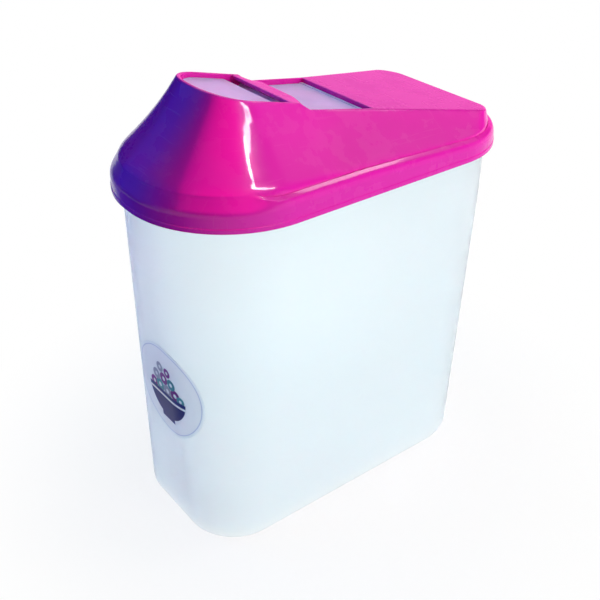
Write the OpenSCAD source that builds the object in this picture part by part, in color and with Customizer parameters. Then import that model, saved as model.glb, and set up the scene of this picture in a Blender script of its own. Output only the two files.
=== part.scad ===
// Cereal container with a flip spout: tapered body, snap lid with a raised nose, rocker flap, sticker.
// Millimetres, +Z up, nose towards -Y. The origin is the centre of the base, on the surface it stands on.

/* [Container body] */
// Length of the collar, from front to rear
collar_len = 195; // [185:1:205]
// Width of the collar
collar_w = 103; // [98:1:110]
// Height from the base to the top of the rim
body_h = 195; // [170:1:220]
// Height of the straight collar below the rim
collar_h = 34; // [28:1:45]
// Radius of the collar's front corners in plan
collar_front_r = 49; // [44:0.5:49]
// Radius of the collar's rear corners in plan
collar_rear_r = 40; // [34:0.5:42]
// Length of the base
base_len = 185; // [176:1:192]
// Width of the base
base_w = 91; // [84:1:98]
// Radius of the base's front corners in plan
base_front_r = 28; // [24:0.5:40]
// Radius of the base's rear corners in plan
base_rear_r = 38; // [30:0.5:40]
// Wall thickness of the body
wall = 1.6; // [1.2:0.1:2.2]
// Thickness of the body's floor
floor_t = 2; // [1.6:0.1:3]
// Radius of the fillet between base and walls
base_fillet = 2.6; // [2.4:0.1:6]
// Width of the flat foot ring under the body
foot_w = 5; // [3:0.5:8]
// Height of the hollow inside the foot ring
foot_rise = 1.2; // [0.6:0.1:2]

/* [Rim and lid skirt] */
// How far the rim bead stands out from the collar
bead_out = 2.2; // [1.6:0.1:2.8]
// Height of the rim bead
bead_h = 3.8; // [3:0.1:5]
// Clearance between the rim bead and the skirt
skirt_gap = 1; // [0.9:0.1:1.6]
// Wall thickness of the lid
lid_wall = 1.8; // [1.5:0.1:2.2]
// Depth of the skirt below the rim's top
skirt_drop = 8.5; // [7.5:0.5:12]
// Height of the snap bead inside the skirt
snap_out = 0.5; // [0.3:0.05:0.6]
// Gap between the rim's top and the lid that rests on it
seat_gap = 0.2; // [0.1:0.05:0.3]
// Clearance between the body's inner wall and the lid's plug ring
plug_gap = 0.5; // [0.4:0.05:0.8]
// Depth of the plug ring inside the body
plug_drop = 6; // [4:0.5:8]
// Thickness of the plug ring
plug_t = 1.5; // [1.2:0.1:2]

/* [Hood and nose] */
// How far the hood's foot stands out from the collar
hood_out = 1; // [0.5:0.1:1.5]
// Height of the plate's front edge above the rim
plate_rise = 20.8; // [20:0.2:24]
// Fall of the rear plate towards the back, in degrees
plate_fall = 10.4; // [9:0.1:11]
// Width of the plate at its front edge
plate_front_w = 58.6; // [56:0.2:62]
// Width of the plate at its rear edge, before its corners are rounded
plate_rear_w = 85; // [80:0.5:88]
// Radius of the plate's rear corners
plate_rear_r = 10; // [8:0.5:16]
// Distance from the collar's rear to the plate's rear edge
plate_rear_in = 7; // [6:0.5:9]
// Place of the plate's front edge, behind the middle
step_y = 17; // [12:0.5:20]
// Height of the nose's rim at its rear end, above the body's rim
nose_rise = 31.8; // [31:0.2:34]
// Slope of the nose's rim, in degrees
nose_tilt = 14.3; // [13:0.1:16]
// Width of the nose at its rim
nose_w = 51.2; // [50:0.2:54]
// Distance from the middle to the nose's tip
nose_tip = 66.5; // [64:0.5:70]
// Length of the nose's rounded end
nose_round = 19; // [16:0.5:22]
// Squareness of the nose's rounded end (2 is an ellipse)
nose_square = 2.3; // [2:0.05:2.6]

/* [Flap and bridge bar] */
// Distance from the middle to the flap's pivot
pivot_back = 23.5; // [22:0.5:25]
// Height of the pivot above the body's rim
pivot_rise = 25.1; // [24.8:0.1:25.3]
// Radius of the flap's trunnions
trunnion_r = 2.2; // [1.8:0.1:2.4]
// Radial running clearance of a trunnion in its bore
trunnion_gap = 0.06; // [0.04:0.01:0.1]
// Length of a trunnion outside the flap's side
trunnion_len = 3; // [2.4:0.1:3.4]
// Greatest opening angle of the flap, in degrees
flap_open = 22; // [15:1:22]
// Thickness of the flap
flap_t = 1.8; // [1.6:0.1:2.2]
// Depth of the flap's front half below the nose's rim
flap_sunk = 3.6; // [3.4:0.1:4]
// Depth of the thumb pad below the plate
pad_sunk = 2.4; // [2.2:0.1:2.8]
// Clearance between the flap's edge and the lid
flap_gap = 0.5; // [0.4:0.05:0.7]
// Gap between the closed flap and the ledge under it
ledge_gap = 0.3; // [0.2:0.05:0.4]
// Width of the ledge that the closed flap rests on
ledge_w = 2.6; // [2:0.1:3.2]
// Clearance between the flap's seal lip and the mouth
lip_gap = 1; // [0.8:0.1:1.4]
// Thickness of the seal lip
lip_t = 1.8; // [1.4:0.1:2]
// Depth of the seal lip under the flap
lip_deep = 4.4; // [3.6:0.1:4.8]
// Width of the bridge bar, from front to rear
bar_w = 10; // [9:0.5:11]
// Thickness of the bridge bar
bar_t = 1.5; // [1.3:0.1:1.7]

/* [Sticker] */
// Diameter of the round sticker
sticker_d = 55; // [40:1:58]
// Height of the sticker's centre above the base
sticker_z = 86; // [70:1:110]
// Distance of the sticker's centre from the front's middle, along the wall
sticker_side = 4; // [0:1:18]
// Thickness of the sticker
sticker_t = 0.2; // [0.15:0.05:0.3]

/* [Hidden] */

front_steps = 18;      // steps round each front corner
rear_steps = 12;       // steps round each rear corner
fillet_steps = 5;      // steps round the base fillet
shoulder_steps = 4;    // steps round the lid's shoulder
far = 60;              // reach of cutting prisms past what they cut
min_flat = 0.8;        // least half width left flat between two rounded corners
bead_edge = 0.8;       // chamfer at the top of the rim bead
rim_edge = 0.4;        // chamfer at the rim's inner edge
hem_edge = 0.5;        // chamfer at the skirt's lower edge
groove_w = 0.6;        // width of the groove between shoulder and hood
groove_deep = 0.3;     // depth of that groove
snap_below = 1.2;      // distance from the rim bead's underside down to the snap bead
snap_half = 1;         // half height of the snap bead
lead_in = 0.6;         // chamfer that leads the plug ring in
bar_edge = 0.6;        // chamfer at the bar's edges
boss_wall = 2.2;       // wall round a trunnion's bore
bore_end = 0.5;        // clearance at the end of a trunnion
trough_wall = 1.3;     // room between the hub and the trough's bottom
trough_run = 1;        // how far the trough's bottom runs behind the pivot
well_lead = 0.4;       // how far the well's floor turns level before the pressed pad's end
nose_first = 4;        // angle of the nose's first point beside the middle, in degrees

rim_z = body_h;
taper_z = body_h - collar_h;
blend_h = 10;          // half height of the soft bend between taper and collar
skirt_out = bead_out + skirt_gap + lid_wall;
skirt_z = rim_z - skirt_drop;
seat_z = rim_z + seat_gap;
deck_z = seat_z + lid_wall;
hood_z = deck_z + groove_deep; // where the hood starts, above the groove

nose_hw = nose_w / 2;
nose_back = -pivot_back - 0.8;              // rear end of the nose's rim
pivot_y = -pivot_back;
pivot_z = rim_z + pivot_rise;
bar_front = pivot_y - bar_w / 2;
bar_rear = pivot_y + bar_w / 2;
wall_in = 1.6;                              // wall of the bay round the flap
bay_end = step_y;
hub_r = trunnion_r + 0.3;
hub_gap = 0.4;                              // gap between the hub and the bar over it
trough_z = pivot_z - hub_r - trough_wall;   // bottom of the trough under the pivot
well_gap = 0.7;                             // gap under the pad when it is pressed right down

// Heights of the nose's rim plane and of the plate's plane at a place y
function rim_plane(y) = rim_z + nose_rise - tan(nose_tilt) * (y - nose_back);
function plate_plane(y) = rim_z + plate_rise - tan(plate_fall) * (y - step_y);

// Underside of the thumb pad's rear end, measured from the pivot at rest and with the flap open
tail_y = bay_end - flap_gap - pivot_y;
tail_z = plate_plane(bay_end - flap_gap) - pad_sunk - flap_t - pivot_z;
open_y = tail_y * cos(flap_open) + tail_z * sin(flap_open);
open_z = tail_z * cos(flap_open) - tail_y * sin(flap_open);
floor_z = pivot_z + open_z - well_gap;      // floor of the thumb well

// ---------- outlines and lofts ----------

// Height z below m, and nothing above it, with a soft bend of half height h at m
function below(z, m, h) = z < m - h ? m - z : z > m + h ? 0 : pow(m + h - z, 2) / (4 * h);

// How far up the taper a height lies: 0 at the base, 1 in the collar
function grow(z) = 1 - below(z, taper_z, blend_h) / taper_z;

function mixed(a, b, t) = a + (b - a) * t;

// Half width, half length and corner radii of the body, for t from 0 at the base to 1 in the collar
function body_hw(t) = mixed(base_w, collar_w, t) / 2;
function body_hl(t) = mixed(base_len, collar_len, t) / 2;
function fitted(r, w) = min(r, w / 2 - min_flat);
function front_r(t) = mixed(fitted(base_front_r, base_w), fitted(collar_front_r, collar_w), t);
function rear_r(t) = mixed(fitted(base_rear_r, base_w), fitted(collar_rear_r, collar_w), t);

function front_corner(hw, hl, r, z) = [for (i = [0:front_steps]) let (a = -90 + 90 * i / front_steps)
    [hw - r + r * cos(a), -hl + r + r * sin(a), z]];
function rear_corner(hw, hl, r, z) = [for (i = [0:rear_steps]) let (a = 90 * i / rear_steps)
    [hw - r + r * cos(a), hl - r + r * sin(a), z]];

// A half outline runs up the right side from front to rear, and its mirror image closes it
function mirrored(half) = concat(half, [for (i = [len(half) - 1:-1:0]) let (p = half[i])
    concat([-p[0]], [for (k = [1:len(p) - 1]) p[k]])]);

// Outline of the body at height z, moved outwards by out
function body_ring(out, z) = let (t = grow(z), hw = body_hw(t) + out, hl = body_hl(t) + out)
    mirrored(concat(front_corner(hw, hl, front_r(t) + out, z), rear_corner(hw, hl, rear_r(t) + out, z)));

// A closed solid through rings of equal length; strips=true closes the top with strips across X
module loft(rings, strips = false) {
    n = len(rings[0]);
    m = len(rings);
    side = [for (k = [0:m - 2], i = [0:n - 1]) let (j = (i + 1) % n)
        each [[k * n + i, (k + 1) * n + i, (k + 1) * n + j], [k * n + i, (k + 1) * n + j, k * n + j]]];
    top = strips
        ? [for (i = [0:n / 2 - 2]) let (a = (m - 1) * n + i, b = m * n - 1 - i)
            each [[a, b, b - 1], [a, b - 1, a + 1]]]
        : [[for (i = [n - 1:-1:0]) (m - 1) * n + i]];
    polyhedron(points = [for (r = rings) each r],
        faces = concat(side, [[for (i = [0:n - 1]) i]], top), convexity = 8);
}

// A prism whose outline is given in Y and Z, centred on X
module side_prism(outline, half_w) {
    rotate([90, 0, 90]) linear_extrude(2 * half_w, center = true) polygon(outline);
}

// ---------- container body ----------

// Steps up the rim bead's underside: share of its reach, share of its height left above
bead_steps = [[0, 1], [0.8, 0.75], [1, 0.5]];

module container_body() {
    inner_r = base_fillet - wall;
    inner_floor = foot_rise + floor_t;
    foot_in = base_fillet + foot_w;
    color([0.86, 0.92, 0.97, 0.5]) loft(concat(
        [body_ring(-foot_in - foot_rise, foot_rise), body_ring(-foot_in, 0)],
        [for (i = [0:fillet_steps]) let (a = 90 * i / fillet_steps)
            body_ring(-base_fillet * (1 - sin(a)), base_fillet * (1 - cos(a)))],
        [for (i = [0:4]) body_ring(0, taper_z - blend_h + blend_h * i / 2)],
        [for (s = bead_steps) body_ring(bead_out * s[0], rim_z - bead_h * s[1])],
        [body_ring(bead_out, rim_z - bead_edge), body_ring(bead_out - bead_edge, rim_z),
            body_ring(rim_edge - wall, rim_z), body_ring(-wall, rim_z - rim_edge)],
        [for (i = [4:-1:0]) body_ring(-wall, taper_z - blend_h + blend_h * i / 2)],
        [for (i = [fillet_steps:-1:0]) let (a = 90 * i / fillet_steps)
            body_ring(-wall - inner_r * (1 - sin(a)), inner_floor + inner_r * (1 - cos(a)))]));
}

// ---------- lid ----------

// Places along the hood's straight side: two lists that the foot and the top edge share
top_side = [nose_back, bar_rear + 0.2, mixed(bar_rear, step_y, 0.5), step_y];
rear_side = 4;                              // further places between the step and the rear corner

// Half width of the plate at a place y on its side edge
plate_rear_y = collar_len / 2 - plate_rear_in;
function plate_hw(y) = mixed(plate_front_w, plate_rear_w, (y - step_y) / (plate_rear_y - step_y)) / 2;

// Right half of the lid's outline at the collar, moved outwards by out
function lid_half(out, z) = let (hw = body_hw(1) + out, hl = body_hl(1) + out,
    rf = front_r(1) + out, rr = rear_r(1) + out) concat(
    front_corner(hw, hl, rf, z),
    [for (y = top_side) [hw, y, z]],
    [for (i = [1:rear_side]) [hw, mixed(step_y, hl - rr, i / (rear_side + 1)), z]],
    rear_corner(hw, hl, rr, z));

// Half width of the hood's top edge at a place y on its straight side
function edge_hw(y, ins) = (y <= nose_back ? nose_hw
    : y < step_y ? mixed(nose_hw, plate_front_w / 2, (y - nose_back) / (step_y - nose_back))
    : plate_front_w / 2) - ins;

// Point of the nose's rounded end, for an angle from 0 at the tip to 90 at the side
function nose_point(a, ins) = [(nose_hw - ins) * pow(sin(a), 2 / nose_square),
    nose_round - nose_tip - (nose_round - ins) * pow(cos(a), 2 / nose_square)];

function nose_half(ins) = [for (i = [0:front_steps])
    nose_point(mixed(nose_first, 90, i / front_steps), ins)];

// Right half of the hood's top edge, moved inwards by ins and down by drop
function top_half(ins, drop) = let (cy = plate_rear_y - plate_rear_r,
    cx = plate_hw(cy) - plate_rear_r, rr = plate_rear_r - ins) concat(
    [for (p = nose_half(ins)) [p[0], p[1], rim_plane(p[1]) - drop]],
    [for (y = top_side) [edge_hw(y, ins), y, (y <= nose_back ? rim_plane(y) : plate_plane(y)) - drop]],
    [for (i = [1:rear_side]) let (y = mixed(step_y, cy, i / (rear_side + 1)))
        [plate_hw(y) - ins, y, plate_plane(y) - drop]],
    [for (i = [0:rear_steps]) let (a = 90 * i / rear_steps, y = cy + rr * sin(a))
        [cx + rr * cos(a), y, plate_plane(y) - drop]]);

// Steps up the hood: share of the height, share of the way inwards
hood_steps = [[0, 0], [0.08, 0], [0.13, 0.03], [0.19, 0.1], [0.3, 0.25], [0.5, 0.5], [0.75, 0.77], [1, 1]];

function hood_rings(out, foot_z, ins, drop) = let (lo = lid_half(out, foot_z), hi = top_half(ins, drop))
    [for (s = hood_steps) mirrored([for (i = [0:len(lo) - 1]) [
        mixed(lo[i][0], hi[i][0], s[1]), mixed(lo[i][1], hi[i][1], s[1]),
        mixed(lo[i][2], hi[i][2], s[0])]])];

// Outside of the lid, solid: skirt, rounded shoulder, groove and hood
module lid_outside() {
    reach = skirt_out - hood_out - groove_w;
    rise = (deck_z - skirt_z) / 2;
    hem = [[skirt_out - hem_edge, skirt_z], [skirt_out, skirt_z + hem_edge]];
    loft(concat(
        [for (p = hem) mirrored(lid_half(p[0], p[1]))],
        [for (i = [0:shoulder_steps]) let (a = 90 * i / shoulder_steps)
            mirrored(lid_half(skirt_out - reach * (1 - cos(a)), hood_z - rise * (1 - sin(a))))],
        [mirrored(lid_half(hood_out + groove_w / 3, deck_z))],
        hood_rings(hood_out, hood_z, 0, 0)), strips = true);
}

// Hollow under the lid: skirt with its snap bead, and the hood
module lid_hollow() {
    inner = skirt_out - lid_wall;
    snap_z = rim_z - bead_h - snap_below;
    loft([for (p = [[inner, skirt_z - 1], [inner, snap_z - snap_half], [inner - snap_out, snap_z],
        [inner, snap_z + snap_half], [inner, seat_z]]) mirrored(lid_half(p[0], p[1]))]);
    ring_in = -wall - plug_gap - plug_t;
    side_wall = lid_wall * 1.25;            // the hood's sloping wall, measured level
    loft(concat([mirrored(lid_half(ring_in, seat_z - 1)), mirrored(lid_half(ring_in, deck_z))],
        hood_rings(hood_out - lid_wall, hood_z + lid_wall / 3, side_wall, lid_wall)), strips = true);
}

// Ring that plugs the body's mouth
module plug_ring() {
    outer = -wall - plug_gap;
    low = rim_z - plug_drop;
    difference() {
        loft([mirrored(lid_half(outer - lead_in, low)), mirrored(lid_half(outer, low + 1)),
            mirrored(lid_half(outer, deck_z - 0.5))]);
        loft([for (z = [low - 1, deck_z + 1]) mirrored(lid_half(outer - plug_t, z))]);
    }
}

// Plan of the bay that the flap lies in, moved inwards by d, and by slim more at its end at end_y
function bay_half(d, end_y, slim) = let (ins = lid_wall + d) concat(nose_half(ins),
    end_y > nose_back ? [[nose_hw - ins, nose_back]] : [], [[edge_hw(end_y, ins + slim), end_y]]);

module bay_prism(d, end_y, slim = 0) {
    translate([0, 0, rim_z - far]) linear_extrude(3 * far) polygon(mirrored(bay_half(d, end_y, slim)));
}

// Ledge under the closed flap, then the trough under the pivot, then the floor of the thumb well
ledge_top = flap_sunk + flap_t + ledge_gap;
knee_f = bar_front - 4.5;                   // where the flap's front half bends down to the pivot
trough_front = knee_f - 0.2;
trough_rear = pivot_y + trough_run;
well_flat = pivot_y + open_y - well_lead;   // where the sloping floor turns level
mouth_rear = trough_front - wall_in - 0.4;
function ledge_point(y, d) = [y, rim_plane(y) - ledge_top - d];
function bay_floor(d) = [
    ledge_point(-far - far, d), ledge_point(trough_front - d, d),
    [trough_front - d, trough_z - d], [trough_rear, trough_z - d],
    [well_flat, floor_z - d], [far + far, floor_z - d]];

module bay_space(d, end_y, below) {
    intersection() {
        bay_prism(d, end_y);
        side_prism(concat(bay_floor(below), [for (y = [far, -far]) [2 * y, rim_z + far + far]]), far);
    }
}

// Opening through the ledge that cereal pours out of
module mouth() {
    bay_prism(ledge_w, mouth_rear);
}

// Bar that bridges the bay over the flap's pivot
module bridge_bar() {
    top_f = rim_plane(bar_front) - 0.2;
    top_r = plate_plane(bar_rear);
    arch = pivot_z + hub_r + hub_gap;
    side_prism([[bar_front, top_f - bar_t], [bar_front, top_f - bar_edge], [bar_front + bar_edge, top_f],
        [bar_rear - bar_edge, top_r + bar_edge / 3], [bar_rear, top_r - bar_edge],
        [bar_rear, top_r - bar_t + 0.2], [pivot_y + hub_r - 1, arch], [pivot_y - hub_r / 2, arch]],
        nose_hw - lid_wall / 3);
}

module lid() {
    bore_in = nose_hw - lid_wall - flap_gap;
    boss_len = 2 * (bore_in + trunnion_len + wall_in);
    bore_len = 2 * (bore_in + trunnion_len + bore_end);
    color([0.89, 0.16, 0.66]) {
        difference() {
            union() {
                difference() {
                    lid_outside();
                    lid_hollow();
                }
                plug_ring();
                intersection() {
                    lid_outside();
                    union() {
                        bay_space(-wall_in, bay_end + wall_in, wall_in);
                        translate([0, pivot_y, pivot_z]) rotate([0, 90, 0])
                            cylinder(r = trunnion_r + boss_wall, h = boss_len, center = true, $fn = 48);
                    }
                }
            }
            bay_space(0, bay_end, 0);
            mouth();
            translate([0, pivot_y, pivot_z]) rotate([0, 90, 0])
                cylinder(r = trunnion_r + trunnion_gap, h = bore_len, center = true, $fn = 48);
        }
        bridge_bar();
    }
}

// ---------- flap ----------

// Lip under the flap's front half that seals the mouth
module seal_lip() {
    front = -nose_tip;
    rear = mouth_rear - lip_gap;
    root = flap_sunk + flap_t / 2;
    tip = flap_sunk + flap_t + lip_deep;
    intersection() {
        difference() {
            bay_prism(ledge_w + lip_gap, rear);
            bay_prism(ledge_w + lip_gap + lip_t, rear - lip_t);
        }
        side_prism([[front, rim_plane(front) - root], [rear + 1, rim_plane(rear + 1) - root],
            [rear + 1, rim_plane(rear + 1) - tip], [front, rim_plane(front) - tip]], far);
    }
}

// Saddle over the pivot: places from the pivot and heights above it, from front to rear
saddle = [[-3, 1.6], [3, 0.8]];
knee_run = 2;                               // length of the bend behind the flap's front half
knee_rise = 3.3;                            // height of that bend's rear end above the pivot

// The flap's side view runs along its top from the tip to the tail, then back along its underside
module spout_flap() {
    nose_side = [for (y = [-nose_tip - 1, knee_f]) [y, rim_plane(y) - flap_sunk]];
    pad_side = [for (y = [bar_rear + 0.5, bay_end + 1]) [y, plate_plane(y) - pad_sunk]];
    top = concat(nose_side, [[knee_f + knee_run, pivot_z + knee_rise]],
        [for (p = saddle) [pivot_y + p[0], pivot_z + p[1]]], pad_side);
    under = [for (i = [len(top) - 1:-1:0]) top[i] - [0, flap_t]];
    slope = (plate_front_w - nose_w) / 2 / (step_y - nose_back);
    side_w = nose_hw - lid_wall - flap_gap;
    color([0.8, 0.84, 0.95, 0.6]) {
        intersection() {
            bay_prism(flap_gap, bay_end - flap_gap, slope * (tail_y - open_y));
            side_prism(concat(top, under), far);
        }
        seal_lip();
        translate([0, pivot_y, pivot_z]) rotate([0, 90, 0]) {
            cylinder(r = hub_r, h = 2 * side_w, center = true, $fn = 48);
            cylinder(r = trunnion_r, h = 2 * (side_w + trunnion_len), center = true, $fn = 48);
        }
    }
}

// ---------- sticker ----------

// Point on the body's right front wall, s along the wall from the front's middle at height z, moved out
function wall_point(s, z, out) = let (t = grow(z), hl = body_hl(t), r = front_r(t), flat = body_hw(t) - r,
    u = abs(s), a = u < flat ? 0 : (u - flat) / r * 180 / PI, x = u < flat ? u : flat + (r + out) * sin(a),
    y = u < flat ? -hl - out : -hl + r - (r + out) * cos(a)) [s < 0 ? -x : x, y, z];

module round_sticker() {
    rings = 8;
    spokes = 48;
    lift = 0.1;
    function skin(out) = concat([wall_point(sticker_side, sticker_z, out)],
        [for (k = [1:rings], i = [0:spokes - 1]) let (r = sticker_d / 2 * k / rings, a = 360 * i / spokes)
            wall_point(sticker_side + r * cos(a), sticker_z + r * sin(a), out)]);
    n = 1 + rings * spokes;
    fan = [for (i = [0:spokes - 1]) [0, 1 + (i + 1) % spokes, 1 + i]];
    bands = [for (k = [0:rings - 2], i = [0:spokes - 1]) let (a = 1 + k * spokes + i,
        b = 1 + k * spokes + (i + 1) % spokes) each [[a, b, b + spokes], [a, b + spokes, a + spokes]]];
    back = [for (f = concat(fan, bands)) [f[2] + n, f[1] + n, f[0] + n]];
    last = 1 + (rings - 1) * spokes;
    edge = [for (i = [0:spokes - 1]) let (a = last + i, b = last + (i + 1) % spokes)
        each [[a, b, b + n], [a, b + n, a + n]]];
    color([0.78, 0.87, 0.96]) polyhedron(points = concat(skin(lift + sticker_t), skin(lift)),
        faces = concat(fan, bands, back, edge), convexity = 4);
}

container_body();
lid();
spout_flap();
round_sticker();
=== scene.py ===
"""A translucent cereal container with a magenta snap lid, a rocker flap and a round sticker."""

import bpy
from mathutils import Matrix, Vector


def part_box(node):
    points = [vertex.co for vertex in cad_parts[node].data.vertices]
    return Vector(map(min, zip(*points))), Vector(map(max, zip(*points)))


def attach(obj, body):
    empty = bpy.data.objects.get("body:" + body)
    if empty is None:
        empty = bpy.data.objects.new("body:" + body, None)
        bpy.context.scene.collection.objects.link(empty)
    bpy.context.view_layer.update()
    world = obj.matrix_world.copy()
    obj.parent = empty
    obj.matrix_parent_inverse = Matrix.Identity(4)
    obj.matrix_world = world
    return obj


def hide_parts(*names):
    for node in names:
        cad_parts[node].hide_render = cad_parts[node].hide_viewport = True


bl_info = {
    "name": "Cereal container",
    "version": (1, 0, 0),
    "blender": (4, 5, 0),
    "location": "3D View > Sidebar > Container",
    "description": "Models a cereal container with a flip spout round its packed frame",
    "category": "Add Mesh",
}

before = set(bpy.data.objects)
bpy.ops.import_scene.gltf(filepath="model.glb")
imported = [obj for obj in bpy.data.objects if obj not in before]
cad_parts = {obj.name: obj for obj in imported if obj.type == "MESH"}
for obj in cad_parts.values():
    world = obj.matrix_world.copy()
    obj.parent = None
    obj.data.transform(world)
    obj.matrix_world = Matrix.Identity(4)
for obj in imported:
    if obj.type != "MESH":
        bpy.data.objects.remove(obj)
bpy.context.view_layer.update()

import math

import bpy
from bpy.props import FloatProperty, FloatVectorProperty, PointerProperty
from mathutils import Matrix, Quaternion, Vector

MM = 0.001
FRONT_STEPS = 36        # steps round each front corner
REAR_STEPS = 24         # steps round each rear corner
SEAM = 1e-6             # points closer than this are one point
MOST_ROUNDED = 0.49     # share of a stretch that a rounded corner may take up


def length(name, description, default):
    return FloatProperty(name=name, description=description, default=default, unit="LENGTH", precision=5)


def angle(name, description, degrees):
    return FloatProperty(name=name, description=description, default=math.radians(degrees), unit="ROTATION",
                         subtype="ANGLE")


def colour(name, description, rgb):
    """A colour setting, written as sRGB from 0 to 255."""
    return FloatVectorProperty(name=name, description=description, default=[linear(c) for c in rgb],
                               subtype="COLOR", size=3, min=0, max=1)


def linear(c):
    c = c / 255
    return c / 12.92 if c <= 0.04045 else ((c + 0.055) / 1.055) ** 2.4


# ---------- sizes ----------


class KeeperBody(bpy.types.PropertyGroup):
    """Sizes of the translucent body."""

    height: length("Height", "From the base to the top of the rim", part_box("container_body")[1].z)
    collar_len: length("Collar length", "From front to rear", 0.195)
    collar_w: length("Collar width", "Across the collar", 0.103)
    collar_h: length("Collar height", "Straight part below the rim", 0.034)
    collar_front_r: length("Collar front radius", "Front corners of the collar in plan", 0.049)
    collar_rear_r: length("Collar rear radius", "Rear corners of the collar in plan", 0.040)
    base_len: length("Base length", "From front to rear", 0.185)
    base_w: length("Base width", "Across the base", 0.091)
    base_front_r: length("Base front radius", "Front corners of the base in plan", 0.028)
    base_rear_r: length("Base rear radius", "Rear corners of the base in plan", 0.038)
    bend: length("Bend", "Half height of the soft bend between taper and collar", 0.010)
    wall: length("Wall", "Thickness of the walls", 0.0016)
    floor_t: length("Floor", "Thickness of the floor", 0.002)
    base_fillet: length("Base fillet", "Rounding between base and walls", 0.0026)
    foot_w: length("Foot ring", "Width of the flat foot ring", 0.005)
    foot_rise: length("Foot hollow", "Height of the hollow inside the foot ring", 0.0012)
    bead_out: length("Bead", "How far the rim bead stands out", 0.0022)
    bead_h: length("Bead height", "Height of the rim bead", 0.0038)


class KeeperLid(bpy.types.PropertyGroup):
    """Sizes of the magenta lid."""

    wall: length("Wall", "Thickness of the lid", 0.0018)
    skirt_gap: length("Skirt gap", "Clearance between bead and skirt", 0.001)
    skirt_drop: length("Skirt drop", "Depth of the skirt below the rim", 0.0085)
    hem_h: length("Hem height", "Height of the thick hem at the skirt's lower edge", 0.0022)
    hem_out: length("Hem", "How far the hem stands out", 0.0003)
    snap_out: length("Snap bead", "Height of the bead inside the skirt", 0.0005)
    seat_gap: length("Seat gap", "Between the rim and the lid", 0.0002)
    plug_gap: length("Plug gap", "Between the wall and the plug ring", 0.0005)
    plug_drop: length("Plug drop", "Depth of the plug ring", 0.006)
    plug_t: length("Plug thickness", "Thickness of the plug ring", 0.0015)
    hood_out: length("Hood foot", "How far the hood's foot stands out from the collar", 0.001)
    plate_rise: length("Plate height", "Front edge of the plate above the rim", 0.0208)
    plate_fall: angle("Plate fall", "Slope of the plate towards the rear", 10.4)
    plate_front_w: length("Plate front width", "Width of the plate at its front edge", 0.0586)
    plate_rear_w: length("Plate rear width", "Width of the plate at its rear edge", 0.085)
    plate_rear_r: length("Plate rear radius", "Rounding of the plate's rear corners in plan", 0.010)
    plate_rear_in: length("Plate rear inset", "From the collar's rear to the plate's rear edge", 0.007)
    plate_edge_r: length("Plate edge", "Rounding of the plate's side and rear edges", 0.0016)
    step_y: length("Step", "The plate's front edge, behind the middle", 0.017)
    nose_rise: length("Nose height", "Rear end of the nose's rim above the body's rim", 0.0318)
    nose_tilt: angle("Nose tilt", "Slope of the nose's rim", 14.3)
    nose_w: length("Nose width", "Width of the nose at its rim", 0.0512)
    nose_tip: length("Nose tip", "From the middle to the nose's tip", 0.0665)
    nose_round: length("Nose round", "Length of the nose's rounded end", 0.019)
    edge_r: length("Rim edge", "Rounding of the rim's outer edge", 0.0008)
    bay_edge_r: length("Bay edge", "Rounding of the bay's upper edge", 0.0006)
    bay_wall: length("Bay wall", "Wall round the bay under the hood", 0.0016)


class KeeperFlap(bpy.types.PropertyGroup):
    """Sizes of the rocker flap and what it works in."""

    pivot_back: length("Pivot place", "From the middle to the pivot", 0.0235)
    pivot_rise: length("Pivot height", "Pivot above the body's rim", 0.0251)
    trunnion_r: length("Trunnion radius", "Radius of the trunnions", 0.0022)
    trunnion_gap: length("Trunnion gap", "Radial clearance in the bore", 0.00006)
    trunnion_len: length("Trunnion length", "Length outside the flap's side", 0.003)
    thick: length("Thickness", "Thickness of the flap", 0.0018)
    sunk: length("Nose depth", "Front half below the nose's rim", 0.0022)
    pad_sunk: length("Pad depth", "Thumb pad below the plate", 0.0024)
    gap: length("Gap", "Clearance between the flap's edge and the lid", 0.0005)
    edge_r: length("Edge", "Rounding of the flap's edges", 0.00045)
    ledge_gap: length("Ledge gap", "Between the closed flap and its ledge", 0.0003)
    ledge_w: length("Ledge width", "Ledge that the flap rests on", 0.0026)
    lip_gap: length("Lip gap", "Between the seal lip and the mouth", 0.001)
    lip_t: length("Lip thickness", "Thickness of the seal lip", 0.0018)
    lip_deep: length("Lip depth", "Depth of the seal lip under the flap", 0.0044)
    bar_w: length("Bar width", "Bridge bar from front to rear", 0.010)
    bar_t: length("Bar thickness", "Thickness of the bridge bar", 0.0015)
    bar_edge_r: length("Bar edge", "Rounding of the bar's edges", 0.0008)
    swing: angle("Swing", "Greatest opening angle", 22)


class KeeperSticker(bpy.types.PropertyGroup):
    """Sizes of the round sticker."""

    across: length("Diameter", "Diameter of the sticker", 0.054)
    height: length("Height", "The sticker's centre above the base", 0.086)
    side: length("Place", "From the front's middle along the wall", 0.0062)
    thick: length("Thickness", "Thickness of the sticker", 0.0002)


class KeeperFinish(bpy.types.PropertyGroup):
    """Colours of the pieces."""

    body: colour("Body", "Natural translucent plastic", (245, 254, 254))
    lid: colour("Lid", "Opaque magenta plastic", (226, 30, 166))
    lid_deep: colour("Lid, deep", "Magenta where the moulding has pooled", (206, 26, 150))
    flap: colour("Flap", "Translucent lilac plastic", (217, 228, 253))
    sticker: colour("Sticker", "Ground of the sticker", (242, 249, 253))
    border: colour("Sticker border", "Ring round the sticker", (240, 252, 255))
    ring: colour("Sticker ring", "Thin line inside the border", (176, 190, 222))
    navy: colour("Navy print", "Bowl on the sticker", (24, 34, 120))
    teal: colour("Teal print", "Pieces in the bowl", (60, 150, 165))
    grey: colour("Grey print", "Pieces in the bowl", (140, 150, 176))
    purple: colour("Purple print", "Pieces in the bowl", (122, 30, 140))


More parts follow.
